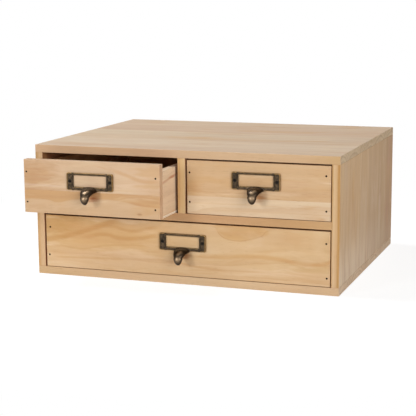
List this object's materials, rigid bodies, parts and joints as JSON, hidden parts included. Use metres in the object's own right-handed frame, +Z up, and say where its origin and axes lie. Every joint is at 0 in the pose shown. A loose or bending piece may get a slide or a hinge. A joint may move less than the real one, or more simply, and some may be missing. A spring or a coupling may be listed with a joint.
{
  "type": "desktop mini drawers",
  "caption": "Small pine desktop cabinet: half-width drawers side by side over a full-width drawer, each front with a bronze label holder and finger tongue.",
  "frame": {"origin": "centre of the cabinet's underside, midway between its sides and midway between its front and back edges", "axes": "+Z up through the top board; +X to the right seen from the front, along the width; the drawers open towards -Y"},
  "size_m": [0.36, 0.3536, 0.152],
  "materials": {
    "cabinet_pine": "unfinished planed pine, satin",
    "drawer_front_pine": "unfinished planed pine, satin",
    "drawer_box_pine": "unfinished planed pine, matt",
    "plywood": "raw birch plywood, matt",
    "beech_dowel": "raw beech, matt",
    "nail_steel": "dark oxidised steel",
    "panel_pin_steel": "dull bright wire",
    "antique_bronze": "antique bronze patina, worn on the high edges"
  },
  "bodies": {
    "cabinet": {"top_board": "cabinet_pine", "bottom_board": "cabinet_pine", "left_side": "cabinet_pine", "right_side": "cabinet_pine", "middle_shelf": "cabinet_pine", "centre_divider": "cabinet_pine", "back_panel": "plywood", "back_panel_pins": "panel_pin_steel", "side_dowels": "beech_dowel", "shelf_dowels": "beech_dowel", "divider_dowels": "beech_dowel"},
    "left_drawer": {"left_drawer_front": "drawer_front_pine", "left_drawer_left_side": "drawer_box_pine", "left_drawer_right_side": "drawer_box_pine", "left_drawer_back": "drawer_box_pine", "left_drawer_bottom": "plywood", "left_drawer_corner_nails": "nail_steel", "left_drawer_rear_nails": "nail_steel", "left_drawer_bottom_pins": "panel_pin_steel", "left_drawer_label_pull": "antique_bronze", "left_drawer_pull_screws": "nail_steel"},
    "right_drawer": {"right_drawer_front": "drawer_front_pine", "right_drawer_left_side": "drawer_box_pine", "right_drawer_right_side": "drawer_box_pine", "right_drawer_back": "drawer_box_pine", "right_drawer_bottom": "plywood", "right_drawer_corner_nails": "nail_steel", "right_drawer_rear_nails": "nail_steel", "right_drawer_bottom_pins": "panel_pin_steel", "right_drawer_label_pull": "antique_bronze", "right_drawer_pull_screws": "nail_steel"},
    "wide_drawer": {"wide_drawer_front": "drawer_front_pine", "wide_drawer_left_side": "drawer_box_pine", "wide_drawer_right_side": "drawer_box_pine", "wide_drawer_back": "drawer_box_pine", "wide_drawer_bottom": "plywood", "wide_drawer_corner_nails": "nail_steel", "wide_drawer_rear_nails": "nail_steel", "wide_drawer_bottom_pins": "panel_pin_steel", "wide_drawer_label_pull": "antique_bronze", "wide_drawer_pull_screws": "nail_steel"}
  },
  "joints": [
    {"name": "left_drawer_slide", "type": "slide", "parent": "cabinet", "child": "left_drawer", "axis": [0, -1, 0], "range_m": [-0.046, 0.184]},
    {"name": "right_drawer_slide", "type": "slide", "parent": "cabinet", "child": "right_drawer", "axis": [0, -1, 0], "range_m": [0, 0.23]},
    {"name": "wide_drawer_slide", "type": "slide", "parent": "cabinet", "child": "wide_drawer", "axis": [0, -1, 0], "range_m": [0, 0.23]}
  ]
}
